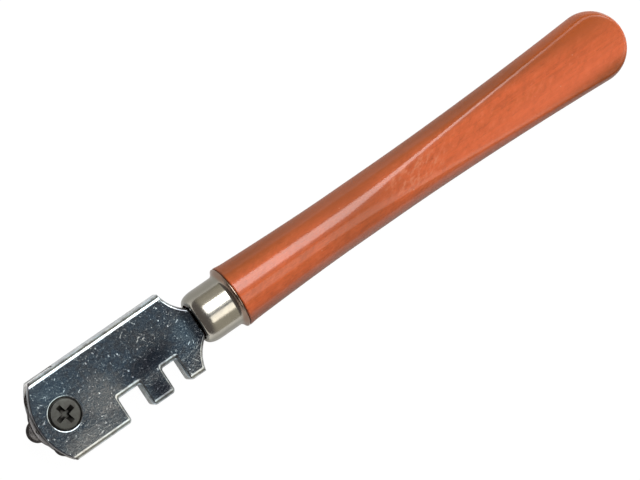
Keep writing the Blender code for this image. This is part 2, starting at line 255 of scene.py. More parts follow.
def turned(name, profile, sides, place, hollow):
    """Turns a profile of (radius, height) points about local Z, then sets it in place."""
    rings = []
    for radius, height in profile:
        radius = max(radius, LEAST_RADIUS)
        ring = arc((0, 0), radius, 0, math.tau * (sides - 1) / sides, sides - 1)
        rings.append([place @ Vector((x, y, height)) for x, y in ring])
    return lofted(name, rings, closed_loop=hollow)


def standing_at(x, y=0.0):
    """Local Z upwards, with its zero at mid-height of the head."""
    return Matrix.Translation((x, y, AXIS_Z))


def along_tool():
    """Local Z along the tool."""
    return Matrix.Translation((0, 0, AXIS_Z)) @ Matrix.Rotation(math.pi / 2, 4, "Y")


def carved(mesh, cutters):
    """Cuts each cutter's mesh out of the mesh, for good."""
    blank = bpy.data.objects.new(mesh.name + "_blank", mesh)
    helpers = [bpy.data.objects.new(cutter.name, cutter) for cutter in cutters]
    for helper in (blank, *helpers):
        bpy.context.scene.collection.objects.link(helper)
    for helper in helpers:
        boolean = blank.modifiers.new(helper.name, "BOOLEAN")
        boolean.operation = "DIFFERENCE"
        boolean.solver = "EXACT"
        boolean.object = helper
    graph = bpy.context.evaluated_depsgraph_get()
    result = bpy.data.meshes.new_from_object(blank.evaluated_get(graph))
    for helper in (blank, *helpers):
        bpy.data.objects.remove(helper)
    shade(result)
    return result


# Handle


def handle_radius(x):
    """Radius of the wood: it flares from a slim waist to both ends and closes in a dome."""
    dome_x = HANDLE_END_X - HANDLE_END_RADIUS
    if x > dome_x:
        return math.sqrt(max(0, HANDLE_END_RADIUS**2 - (x - dome_x) ** 2))
    if x < WAIST_FRONT_X:
        part = (WAIST_FRONT_X - x) / (WAIST_FRONT_X - HANDLE_FRONT_X)
        flare = (HANDLE_FRONT_RADIUS - WAIST_RADIUS) * part**FRONT_FLARE_POWER
        curl = max(0, 1 - (x - HANDLE_FRONT_X) / FRONT_CURL_LENGTH)
        return WAIST_RADIUS + flare + FRONT_CURL * curl**2
    part = max(0, x - WAIST_REAR_X) / (dome_x - WAIST_REAR_X)
    return WAIST_RADIUS + (HANDLE_END_RADIUS - WAIST_RADIUS) * part**REAR_FLARE_POWER


def flat_height(x):
    back = HANDLE_END_X - x
    return FLAT_END_Z + FLAT_SLOPE * back + FLAT_CURVE * back**2


def handle_ring(x, radius):
    """A round section with a flat above and below, meeting in a slightly softened ridge."""
    ring = []
    height = flat_height(x)
    for step in range(HANDLE_SIDES):
        angle = math.tau * step / HANDLE_SIDES
        crowding = (radius * abs(math.sin(angle)) / height) ** FLAT_RIDGE_POWER
        reach = radius * (1 + crowding) ** (-1 / FLAT_RIDGE_POWER)
        ring.append((x, reach * math.cos(angle), AXIS_Z + reach * math.sin(angle)))
    return ring


def square_ring(x, half_width):
    ring = []
    for step in range(HANDLE_SIDES):
        angle = math.tau * step / HANDLE_SIDES
        reach = half_width / max(abs(math.cos(angle)), abs(math.sin(angle)))
        ring.append((x, reach * math.cos(angle), AXIS_Z + reach * math.sin(angle)))
    return ring


def handle_rings():
    dome_x = HANDLE_END_X - HANDLE_END_RADIUS
    rings = [
        square_ring(TANG_HOLE_END_X, TANG_HOLE_HALF_WIDTH),
        square_ring(HANDLE_LOW.x, TANG_HOLE_HALF_WIDTH),
        handle_ring(HANDLE_LOW.x, TENON_RADIUS),
        handle_ring(HANDLE_FRONT_X, TENON_RADIUS),
    ]
    for step in range(EDGE_STEPS + 1):
        angle = math.pi / 2 * step / EDGE_STEPS
        x = HANDLE_FRONT_X + FRONT_EDGE * (1 - math.cos(angle))
        rings.append(handle_ring(x, handle_radius(x) - FRONT_EDGE * (1 - math.sin(angle))))
    start = HANDLE_FRONT_X + FRONT_EDGE
    for step in range(1, HANDLE_STATIONS + 1):
        x = start + (dome_x - start) * step / HANDLE_STATIONS
        rings.append(handle_ring(x, handle_radius(x)))
    for step in range(1, DOME_STEPS):
        angle = math.pi / 2 * step / DOME_STEPS
        x = dome_x + HANDLE_END_RADIUS * math.sin(angle)
        rings.append(handle_ring(x, HANDLE_END_RADIUS * math.cos(angle)))
    rings.append(handle_ring(HANDLE_END_X, LEAST_RADIUS))
    return rings


def build_handle():
    mesh = lofted("turned_wood_handle", handle_rings())
    make_piece("turned_wood_handle", mesh, stained_wood(), "tool", "handle_wood", "handle")


# Ferrule


def ferrule_profile():
    """Half section of the ferrule: a flared rim at the wood and a rolled-in mouth at the front."""
    front_x = FERRULE_LOW.x
    rear_x = FERRULE_HIGH.x
    flange_radius = FERRULE_HIGH.y
    flange_x = rear_x - FERRULE_FLANGE_LENGTH
    rim = FERRULE_FLANGE_LENGTH / 2
    profile = arc((flange_radius - rim, rear_x - rim), rim, math.pi / 2, 0, EDGE_STEPS)
    for step in range(FERRULE_CURVE_STEPS + 1):
        part = step / FERRULE_CURVE_STEPS
        x = flange_x + (FERRULE_FLARE_X - flange_x) * part
        profile.append((FERRULE_RADIUS + (flange_radius - FERRULE_RADIUS) * (1 - part) ** 2, x))
    for radial, axial in arc((0, 0), 1, 0, -math.pi / 2, FERRULE_CURVE_STEPS):
        radius = FERRULE_RADIUS - FERRULE_FRONT_ROUNDING * (1 - radial)
        profile.append((radius, front_x + FERRULE_FRONT_TAPER * (1 + axial)))
    lip = FERRULE_OPENING_RADIUS
    profile += [
        (lip, front_x),
        (lip, front_x + FERRULE_LIP),
        (FERRULE_BORE_RADIUS, front_x + FERRULE_LIP),
        (FERRULE_BORE_RADIUS, rear_x),
    ]
    return profile


def build_ferrule():
    mesh = turned("nickel_ferrule", ferrule_profile(), FERRULE_SIDES, along_tool(), True)
    piece = make_piece("nickel_ferrule", mesh, satin_nickel(), "tool", "ferrule_nickel", "ferrule")
    even_faces(piece)


# Head


def end_arc(inset):
    """The head's end. Its edge stays nearly sharp, so it moves in by only a share of the inset."""
    radius = HEAD_END_RADIUS - inset * END_EDGE_SHARE
    spread = math.asin((HEAD_HALF_WIDTH - inset) / radius)
    centre = (HEAD_LOW.x + HEAD_END_RADIUS, 0)
    return arc(centre, radius, math.pi - spread, math.pi + spread, END_ARC_STEPS)


def neck_arc(side, inset):
    """The hollow curve from the head's shoulder to the tang, on the side +1 or -1."""
    radius = NECK_ARC_RADIUS + inset * NECK_EDGE_SHARE
    start = math.pi + math.asin((NECK_ARC_Y - HEAD_HALF_WIDTH + inset) / radius)
    end = math.pi + math.asin((NECK_ARC_Y - TANG_HALF_WIDTH + inset * NECK_EDGE_SHARE) / radius)
    points = arc((NECK_ARC_X, NECK_ARC_Y), radius, start, end, NECK_ARC_STEPS)
    return [(x, side * y) for x, y in points]


def head_outline(inset):
    """The head's outline moved inwards, with the same number of points for every inset."""
    edge_y = HEAD_HALF_WIDTH - inset
    roof_y = NOTCH_ROOF_Y + inset
    outer = max(LEAST_RADIUS, HEAD_CORNER_RADIUS - inset)
    inner = NOTCH_CORNER_RADIUS + inset * INNER_CORNER_GROWTH
    side = inset * SIDE_EDGE_SHARE
    corners = [(point, 0) for point in end_arc(inset)]
    for left, right in NOTCHES:
        corners += [
            ((left - side, -edge_y), outer),
            ((left - side, roof_y), inner),
            ((right + side, roof_y), inner),
            ((right + side, -edge_y), outer),
        ]
    corners += [(point, 0) for point in neck_arc(-1, inset)]
    tang = inset * NECK_EDGE_SHARE
    corners += [
        ((TANG_TAPER_X, tang - TANG_HALF_WIDTH), 0),
        ((HEAD_HIGH.x - tang, tang - TANG_END_HALF_WIDTH), 0),
        ((HEAD_HIGH.x - tang, TANG_END_HALF_WIDTH - tang), 0),
        ((TANG_TAPER_X, TANG_HALF_WIDTH - tang), 0),
    ]
    corners += [(point, 0) for point in reversed(neck_arc(1, inset))]
    return rounded_outline(corners, CORNER_STEPS)


def head_blank():
    """The stamped plate: its front edge rolls over widely and its rear edge only a little."""
    levels = []
    for step in range(ROLL_STEPS + 1):
        angle = math.pi / 2 * step / ROLL_STEPS
        inset = REAR_ROLL_WIDTH * (1 - math.sin(angle))
        levels.append((inset, -HEAD_HALF_THICKNESS + REAR_ROLL_DEPTH * (1 - math.cos(angle))))
    for step in range(ROLL_STEPS + 1):
        angle = math.pi / 2 * step / ROLL_STEPS
        inset = FRONT_ROLL_WIDTH * (1 - math.cos(angle))
        levels.append((inset, HEAD_HALF_THICKNESS - FRONT_ROLL_DEPTH * (1 - math.sin(angle))))
    rings = [[(x, y, AXIS_Z + level) for x, y in head_outline(inset)] for inset, level in levels]
    return lofted("head_blank", rings)


def fork_cutter():
    """The slot in the end that the turret turns in, with a round bottom."""
    centre_x = TURRET_X + FORK_DEPTH - FORK_CUT_RADIUS
    wide = HEAD_HALF_WIDTH + OVERSHOOT
    outside = HEAD_LOW.x - OVERSHOOT
    outline = [(outside, FORK_CUT_RADIUS), (outside, -FORK_CUT_RADIUS)]
    outline += arc((centre_x, 0), FORK_CUT_RADIUS, -math.pi / 2, math.pi / 2, FORK_ARC_STEPS)
    outline = [(x, max(-wide, min(wide, y))) for x, y in outline]
    levels = (AXIS_Z - FORK_GAP / 2, AXIS_Z + FORK_GAP / 2)
    return lofted("fork_cutter", [[(x, y, z) for x, y in outline] for z in levels])


def pocket_cutter():
    """The round pocket for the screw's head, flared at the top into a soft rim."""
    top = HEAD_HALF_THICKNESS
    rim = POCKET_RADIUS + POCKET_RIM_WIDTH
    profile = [(0, top - POCKET_FLOOR_DEPTH), (POCKET_RADIUS, top - POCKET_FLOOR_DEPTH)]
    for across, rise in arc((0, 0), 1, math.pi, math.pi / 2, ROLL_STEPS):
        profile.append((rim + POCKET_RIM_WIDTH * across, top - POCKET_RIM_DEPTH * (1 - rise)))
    profile += [(rim, top + OVERSHOOT), (0, top + OVERSHOOT)]
    return turned("pocket_cutter", profile, LATHE_SIDES, standing_at(TURRET_X), False)


def hole_profile(radius, reach):
    """Half section of a straight round hole that reaches as far below as above."""
    return [(0, -reach), (radius, -reach), (radius, reach), (0, reach)]


def screw_hole_cutter():
    profile = hole_profile(SCREW_HOLE_RADIUS, HEAD_HALF_THICKNESS + OVERSHOOT)
    return turned("screw_hole_cutter", profile, LATHE_SIDES, standing_at(TURRET_X), False)


def build_head():
    mesh = carved(head_blank(), [fork_cutter(), pocket_cutter(), screw_hole_cutter()])
    piece = make_piece("plated_head", mesh, bright_plating(), "tool", "head_plating", "head")
    even_faces(piece)


# Turret


def disc_corners(low, high, bore, outer, edge):
    """Corners of a flat ring's section, with its outer edges eased."""
    return [((outer, high), edge), ((outer, low), edge), ((bore, low), 0), ((bore, high), 0)]


def centre_of(node):
    low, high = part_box(node)
    return (low + high) / 2


def build_disc(name, node, steel):
    """A thin disc of the turret, pierced for the screw and for the six pins."""
    low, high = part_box(node)
    outer = (high.x - low.x) / 2 - DISC_TRIM
    corners = disc_corners(low.z - AXIS_Z, high.z - AXIS_Z, SCREW_HOLE_RADIUS, outer, DISC_EDGE)
    section = rounded_outline(corners, SMALL_EDGE_STEPS)
    blank = turned(name, section, LATHE_SIDES, standing_at(TURRET_X), True)
    holes = []
    for number in range(1, WHEEL_COUNT + 1):
        centre = centre_of(f"wheel_axle_{number}")
        profile = hole_profile(WHEEL_BORE_RADIUS, FORK_GAP)
        place = standing_at(centre.x, centre.y)
        holes.append(turned(f"pin_hole_{number}", profile, PIN_HOLE_SIDES, place, False))
    piece = make_piece(name, carved(blank, holes), steel, "turret", "turret_steel", node)
    even_faces(piece)


def build_spacer(steel):
    half = (SPACER_HIGH.z - SPACER_LOW.z) / 2
    outer = (SPACER_HIGH.x - SPACER_LOW.x) / 2
    corners = disc_corners(-half, half, SCREW_HOLE_RADIUS, outer, DISC_EDGE)
    section = rounded_outline(corners, SMALL_EDGE_STEPS)
    mesh = turned("turret_spacer", section, LATHE_SIDES, standing_at(TURRET_X), True)
    make_piece("turret_spacer", mesh, steel, "turret", "turret_steel", "turret_bush")


def wheel_profile():
    """Half section of a wheel: flat sides and a ground V edge with a worn tip."""
    half = (WHEEL_HIGH.z - WHEEL_LOW.z) / 2
    tip = (WHEEL_HIGH.x - WHEEL_LOW.x) / 2
    corners = [
        ((WHEEL_SHOULDER_RADIUS, half), WHEEL_EDGE_RADIUS),
        ((tip, WHEEL_EDGE_RADIUS), 0),
        ((tip, -WHEEL_EDGE_RADIUS), 0),
        ((WHEEL_SHOULDER_RADIUS, -half), WHEEL_EDGE_RADIUS),
        ((WHEEL_BORE_RADIUS, -half), 0),
        ((WHEEL_BORE_RADIUS, half), 0),
    ]
    return rounded_outline(corners, SMALL_EDGE_STEPS)


def pin_profile():
    """A plain pin with a low domed head peened at each end."""
    half = (PIN_HIGH.z - PIN_LOW.z) / 2
    dome = [(PIN_RADIUS * math.cos(a), half - PIN_DOME * (1 - math.sin(a)))
            for a in (math.pi / 2 * step / EDGE_STEPS for step in range(EDGE_STEPS + 1))]
    lower = [(radius, -height) for radius, height in reversed(dome)]
    return lower + dome


def build_wheels(turret_steel, wheel_steel):
    for number in range(1, WHEEL_COUNT + 1):
        centre = centre_of(f"cutting_wheel_{number}")
        place = standing_at(centre.x, centre.y)
        wheel = turned(f"scoring_wheel_{number}", wheel_profile(), WHEEL_SIDES, place, True)
        make_piece(
            wheel.name, wheel, wheel_steel, f"wheel_{number}", "wheel_steel", f"cutting_wheel_{number}"
        )
        pin = turned(f"peened_pin_{number}", pin_profile(), PIN_SIDES, place, False)
        make_piece(pin.name, pin, turret_steel, "turret", "turret_steel", f"wheel_axle_{number}")


def build_turret():
    steel = stamped_steel()
    build_disc("turret_disc_front", "turret_front_plate", steel)
    build_disc("turret_disc_rear", "turret_rear_plate", steel)
    build_spacer(steel)
    build_wheels(steel, ground_steel())


# Screw


def cross_cutter():
    """A cross-shaped punch that narrows with depth."""
    top = SCREW_HIGH.z
    levels = (
        (top + OVERSHOOT / 10, CROSS_ARM, CROSS_HALF_WIDTH),
        (top, CROSS_ARM, CROSS_HALF_WIDTH),
        (top - CROSS_DEPTH, CROSS_FOOT_ARM, CROSS_FOOT_HALF_WIDTH),
    )
    turn = Matrix.Translation((TURRET_X, 0, 0)) @ Matrix.Rotation(CROSS_TURN, 4, "Z")
    rings = []
    for level, arm, half in levels:
        quarter = [((arm, -half), half / 3), ((arm, half), half / 3), ((half, half), half / 4)]
        corners = []
        for quarter_turns in range(4):
            rotation = Matrix.Rotation(quarter_turns * math.pi / 2, 2)
            corners += [(tuple(rotation @ Vector(point)), radius) for point, radius in quarter]
        outline = rounded_outline(corners, SMALL_EDGE_STEPS)
        rings.append([turn @ Vector((x, y, level)) for x, y in outline])
    return lofted("cross_cutter", rings)


def screw_profile():
    """Half section of the screw: a shallow head on a threaded shank."""
    top = SCREW_HIGH.z - AXIS_Z
    clearance = (SCREW_HIGH.z - WASHER_HIGH.z) * SCREW_HEAD_CLEARANCE_SHARE
    bottom = WASHER_HIGH.z - AXIS_Z + clearance
    tail = SCREW_LOW.z - AXIS_Z
    edge = SCREW_HEAD_EDGE
    profile = [(0, top)]
    profile += arc((SCREW_FACE_RADIUS - edge, top - edge), edge, math.pi / 2, 0, EDGE_STEPS)
    profile += [(SCREW_FACE_RADIUS, bottom), (SHANK_RADIUS, bottom)]
    root = SHANK_RADIUS - THREAD_DEPTH
    turns = int((-FORK_GAP / 2 - tail) / THREAD_PITCH)
    for turn in range(turns):
        crest = -FORK_GAP / 2 - turn * THREAD_PITCH
        profile += [(SHANK_RADIUS, crest), (root, crest - THREAD_PITCH / 2)]
    profile += [(SHANK_RADIUS, tail + THREAD_DEPTH), (root, tail), (0, tail)]
    return profile


def build_screw():
    steel = dark_screw_steel()
    blank = turned("cross_screw", screw_profile(), LATHE_SIDES, standing_at(TURRET_X), False)
    mesh = carved(blank, [cross_cutter()])
    screw = make_piece("cross_screw", mesh, steel, "screw", "screw_steel", "clamp_screw")
    even_faces(screw)
    low = WASHER_LOW.z - AXIS_Z
    high = WASHER_HIGH.z - AXIS_Z
    outer = (WASHER_HIGH.x - WASHER_LOW.x) / 2
    corners = disc_corners(low, high, SCREW_HOLE_RADIUS, outer, DISC_EDGE)
    section = rounded_outline(corners, SMALL_EDGE_STEPS)
    ring = turned("pocket_washer", section, LATHE_SIDES, standing_at(TURRET_X), True)
    make_piece("pocket_washer", ring, steel, "tool", "screw_steel", "screw_washer")


# Node tools


def feed(tree, socket, value):
    """Links a value that comes from another node, and sets any other value."""
    if isinstance(value, bpy.types.NodeSocket):
        tree.links.new(value, socket)
    else:
        socket.default_value = value


def add_node(tree, kind, inputs=None, **settings):
    """Adds a node with its settings and its inputs, which are named or numbered."""
    made = tree.nodes.new(kind)
    for name, value in settings.items():
        setattr(made, name, value)
    for name, value in (inputs or {}).items():
        feed(tree, made.inputs[name], value)
    return made


def out(node, name=0):
    return node.outputs[name]


def maths(tree, operation, first, second=0.0):
    return out(add_node(tree, "ShaderNodeMath", {0: first, 1: second}, operation=operation))


def vector_maths(tree, operation, first, second=(0, 0, 0)):
    return add_node(tree, "ShaderNodeVectorMath", {0: first, 1: second}, operation=operation)


def share_of(tree, mask, share):
    """The mask weakened by a share, or kept only where a second mask is."""
    return maths(tree, "MULTIPLY", mask, share)


def either(tree, first, second):
    return maths(tree, "MAXIMUM", first, second)


def remap(tree, value, low, high, to_low=0.0, to_high=1.0):
    """Takes the value's range from low to high smoothly onto the new range."""
    inputs = {"Value": value, "From Min": low, "From Max": high, "To Min": to_low, "To Max": to_high}
    return out(add_node(tree, "ShaderNodeMapRange", inputs, interpolation_type="SMOOTHSTEP"))


def blended(tree, share, first, second):
    """Mixes two colours. A mix node's colour sockets are its inputs 6 and 7 and its output 2."""
    inputs = {0: share, 6: first, 7: second}
    return out(add_node(tree, "ShaderNodeMix", inputs, data_type="RGBA"), 2)


def two_tone(tree, mask, first, second):
    return blended(tree, mask, (*first, 1), (*second, 1))


def layered(tree, tone, layers):
    """Lays each colour over the tone where its mask is. A layer is (mask, share, colour)."""
    for mask, share, colour in layers:
        tone = blended(tree, share_of(tree, mask, share), tone, (*colour, 1))
    return tone


def noise(tree, where, scale, detail=3.0, roughness=0.5, distortion=0.0):
    inputs = {
        "Vector": where, "Scale": scale, "Detail": detail, "Roughness": roughness,
        "Distortion": distortion,
    }
    return out(add_node(tree, "ShaderNodeTexNoise", inputs), "Fac")


def stretched(tree, where, lengths, turn=0.0):
    """Coordinates in which features come out that much longer along each axis, then turned."""
    inputs = {"Vector": where, "Scale": lengths, "Rotation": (0, 0, turn)}
    return out(add_node(tree, "ShaderNodeMapping", inputs, vector_type="TEXTURE"))


def split(tree, where):
    """The X, Y and Z of a place."""
    parts = add_node(tree, "ShaderNodeSeparateXYZ", {"Vector": where})
    return out(parts, "X"), out(parts, "Y"), out(parts, "Z")


def mask_group(name, vectors, numbers):
    """An empty shader group with named vector and number inputs, which puts out one mask."""
    tree = bpy.data.node_groups.new(name, "ShaderNodeTree")
    for kind, labels in (("NodeSocketVector", vectors), ("NodeSocketFloat", numbers)):
        for label in labels:
            tree.interface.new_socket(label, in_out="INPUT", socket_type=kind)
    tree.interface.new_socket("Mask", in_out="OUTPUT", socket_type="NodeSocketFloat")
    return tree, tree.nodes.new("NodeGroupInput"), tree.nodes.new("NodeGroupOutput")


# Effects that several finishes share

MM_PER_METRE = 1000

# The direction of each set of scratches in radians, and how many times longer than wide they are.
SCRATCH_SETS = ((0.5, 2.6), (1.25, 1.8), (2.2, 3.2), (2.8, 1.5))
NO_SCRATCHES = 0.84
SCRATCH_SPREAD = 0.2
SCRATCH_SOFTNESS = 0.05

SMALLEST_SPECK = 0.35
SPECK_CORE = 0.45

# A spot is much deeper than the tool, so that it shows on both of its faces.
SPOT_DEPTH = 1000
SPOT_RAGGEDNESS = 0.9
SPOT_OUTSIDE = 1.5
SPOT_INSIDE = 0.6

# How far rounding turns the surface at an edge, as the cosine of that angle.
FLAT_COSINE = 0.995
EDGE_COSINE = 0.85


def cloud_group():
    """Soft patches. Noise below Low is outside a patch, and above High it is well inside one."""
    tree, start, end = mask_group("soft_patches", ["Vector"], ["Scale", "Low", "High"])
    drifted = noise(tree, out(start, "Vector"), out(start, "Scale"), 4.0, 0.55, 0.6)
    mask = remap(tree, drifted, out(start, "Low"), out(start, "High"))
    tree.links.new(mask, end.inputs["Mask"])
    return tree


def scratch_group():
    """Short hairline scratches and scuffs that lie in several directions."""
    tree, start, end = mask_group("hair_scratches", ["Vector"], ["Scale", "Amount"])
    spread = share_of(tree, out(start, "Amount"), SCRATCH_SPREAD)
    threshold = maths(tree, "SUBTRACT", NO_SCRATCHES, spread)
    full = maths(tree, "ADD", threshold, SCRATCH_SOFTNESS)
    mask = None
    for turn, length in SCRATCH_SETS:
        along = stretched(tree, out(start, "Vector"), (length, 1, 1), turn)
        lines = noise(tree, along, out(start, "Scale"), 2.0, 0.5, 0.4)
        hair = remap(tree, lines, threshold, full)
        mask = hair if mask is None else either(tree, mask, hair)
    tree.links.new(mask, end.inputs["Mask"])
    return tree


def speck_group():
    """Scattered round specks of mixed size. Share is the part of the cells that holds one."""
    tree, start, end = mask_group("scattered_specks", ["Vector"], ["Scale", "Share", "Size"])
    cells = add_node(
        tree, "ShaderNodeTexVoronoi", {"Vector": out(start, "Vector"), "Scale": out(start, "Scale")}
    )
    chance = add_node(tree, "ShaderNodeSeparateColor", {"Color": out(cells, "Color")})
    present = maths(tree, "LESS_THAN", out(chance, "Red"), out(start, "Share"))
    mixed_size = remap(tree, out(chance, "Green"), 0, 1, SMALLEST_SPECK, 1.0)
    radius = share_of(tree, out(start, "Size"), mixed_size)
    speck = remap(tree, out(cells, "Distance"), radius, share_of(tree, radius, SPECK_CORE))
    tree.links.new(share_of(tree, present, speck), end.inputs["Mask"])
    return tree


def recess_shade_group():
    """Painted shade in crevices: it grows where the surface is closed in within the given distance."""
    tree, start, end = mask_group("painted_crevice_shade", [], ["Distance", "Low", "High"])
    openness = add_node(
        tree, "ShaderNodeAmbientOcclusion", {"Distance": out(start, "Distance")}, samples=8
    )
    closed_in = maths(tree, "SUBTRACT", 1.0, out(openness, "AO"))
    tree.links.new(remap(tree, closed_in, out(start, "Low"), out(start, "High")), end.inputs["Mask"])
    return tree


def soft_spot_group():
    """One soft-edged oval patch, broken up by noise. Reach is its half size along each axis."""
    tree, start, end = mask_group("soft_spot", ["Vector", "Centre", "Reach"], ["Breakup Scale"])
    offset = vector_maths(tree, "SUBTRACT", out(start, "Vector"), out(start, "Centre"))
    shares = vector_maths(tree, "DIVIDE", out(offset), out(start, "Reach"))
    distance = out(vector_maths(tree, "LENGTH", out(shares)), "Value")
    ragged = noise(tree, out(start, "Vector"), out(start, "Breakup Scale"), 4.0, 0.6)
    distance = maths(tree, "ADD", distance, share_of(tree, ragged, SPOT_RAGGEDNESS))
    tree.links.new(remap(tree, distance, SPOT_OUTSIDE, SPOT_INSIDE), end.inputs["Mask"])
    return tree


def edge_group():
    """Finds outward edges, broken up a little, from how far rounding would turn the surface."""
    tree, start, end = mask_group("worn_edges", ["Vector"], ["Radius", "Breakup Scale"])
    rounded = add_node(tree, "ShaderNodeBevel", {"Radius": out(start, "Radius")}, samples=6)
    plain = add_node(tree, "ShaderNodeNewGeometry")
    agreement = vector_maths(tree, "DOT_PRODUCT", out(rounded), out(plain, "Normal"))
    turned_by = remap(tree, out(agreement, "Value"), FLAT_COSINE, EDGE_COSINE)
    worn = noise(tree, out(start, "Vector"), out(start, "Breakup Scale"), 4.0)
    broken = remap(tree, worn, 0.35, 0.65)
    tree.links.new(share_of(tree, turned_by, broken), end.inputs["Mask"])
    return tree


EFFECTS = {
    "patches": cloud_group(),
    "scratches": scratch_group(),
    "specks": speck_group(),
    "edges": edge_group(),
    "recess_shade": recess_shade_group(),
    "spot": soft_spot_group(),
}


def effect(tree, name, inputs):
    made = tree.nodes.new("ShaderNodeGroup")
    made.node_tree = EFFECTS[name]
    for label, value in inputs.items():
        feed(tree, made.inputs[label], value)
    return out(made)


def patches(tree, where, scale, low, high):
    return effect(tree, "patches", {"Vector": where, "Scale": scale, "Low": low, "High": high})


def scratches(tree, where, scale, amount):
    return effect(tree, "scratches", {"Vector": where, "Scale": scale, "Amount": amount})


def specks(tree, where, scale, share, size):
    return effect(tree, "specks", {"Vector": where, "Scale": scale, "Share": share, "Size": size})


def worn_edges(tree, where, radius, breakup):
    return effect(tree, "edges", {"Vector": where, "Radius": radius, "Breakup Scale": breakup})


# Painted shade where the surface is closed in within the distance.
def recess_shade(tree, distance, low, high):
    return effect(tree, "recess_shade", {"Distance": distance, "Low": low, "High": high})


def spot(tree, where, place, breakup=0.5):
    """A soft patch that runs right through the tool, from its (x, y, half length, half width)."""
    x, y, half_length, half_width = place
    inputs = {
        "Vector": where, "Centre": (x, y, 0), "Reach": (half_length, half_width, SPOT_DEPTH),
        "Breakup Scale": breakup,
    }
    return effect(tree, "spot", inputs)


def start_finish(name, settings):
    """A new material with a plain shader, and its surface's place in millimetres."""
    material = bpy.data.materials.new(name)
    material.use_nodes = True
    tree = material.node_tree
    shader = tree.nodes["Principled BSDF"]
    for socket, value in settings.items():
        shader.inputs[socket].default_value = value
    coordinates = add_node(tree, "ShaderNodeTexCoord")
    inputs = {0: out(coordinates, "Object"), "Scale": MM_PER_METRE}
    scaled = add_node(tree, "ShaderNodeVectorMath", inputs, operation="SCALE")
    return material, tree, shader, out(scaled)


def connect_normal(tree, shader, height, strength, distance):
    bump = add_node(
        tree, "ShaderNodeBump", {"Height": height, "Strength": strength, "Distance": distance}
    )
    tree.links.new(out(bump), shader.inputs["Normal"])


# Finishes. Colours are linear red, green and blue. Places on the tool are in millimetres: a
# patch is (x, y, half length, half width), and a fade is (where it starts, where it is full).

GRAIN_DARK = (0.56, 0.100, 0.024)
GRAIN_LIGHT = (0.72, 0.131, 0.032)
STREAK_BROWN = (0.50, 0.110, 0.020)
MOTTLE_ORANGE = (0.78, 0.150, 0.045)
FLECK_LIGHT = (0.82, 0.20, 0.075)
FLECK_DARK = (0.42, 0.080, 0.022)
PORE_BROWN = (0.26, 0.045, 0.014)
# Painted shade on the handle's rounded sides, one colour for each side.
UPPER_SIDE_SHADE_BROWN = (0.25, 0.060, 0.008)
LOWER_SIDE_SHADE_BROWN = (0.23, 0.054, 0.008)
WAIST_BROWN = (0.37, 0.080, 0.018)
END_BROWN = (0.48, 0.092, 0.012)
BELLY_ORANGE = (0.80, 0.160, 0.055)
SMUDGE_PINK = (0.72, 0.30, 0.17)
NICK_PINK = (0.74, 0.36, 0.22)
WORN_WOOD = (0.86, 0.36, 0.19)
# Painted shade in the wood's crevices.
WOOD_RECESS_SHADE = (0.10, 0.022, 0.012)
UPPER_SIDE_SHADE_FADE = (2.2, 5.0)
LOWER_SIDE_SHADE_FADE = (-2.7, -5.3)
DULL_SIDE_FADE = (3.4, 5.2)
DARK_WAIST = (4, 1.5, 15, 8)
BROWN_END = (62, 5, 24, 5.5)
BRIGHT_BELLY = (45, -3.0, 30, 3.6)
FLAT_SMUDGE = (17, 0, 9, 3.4)


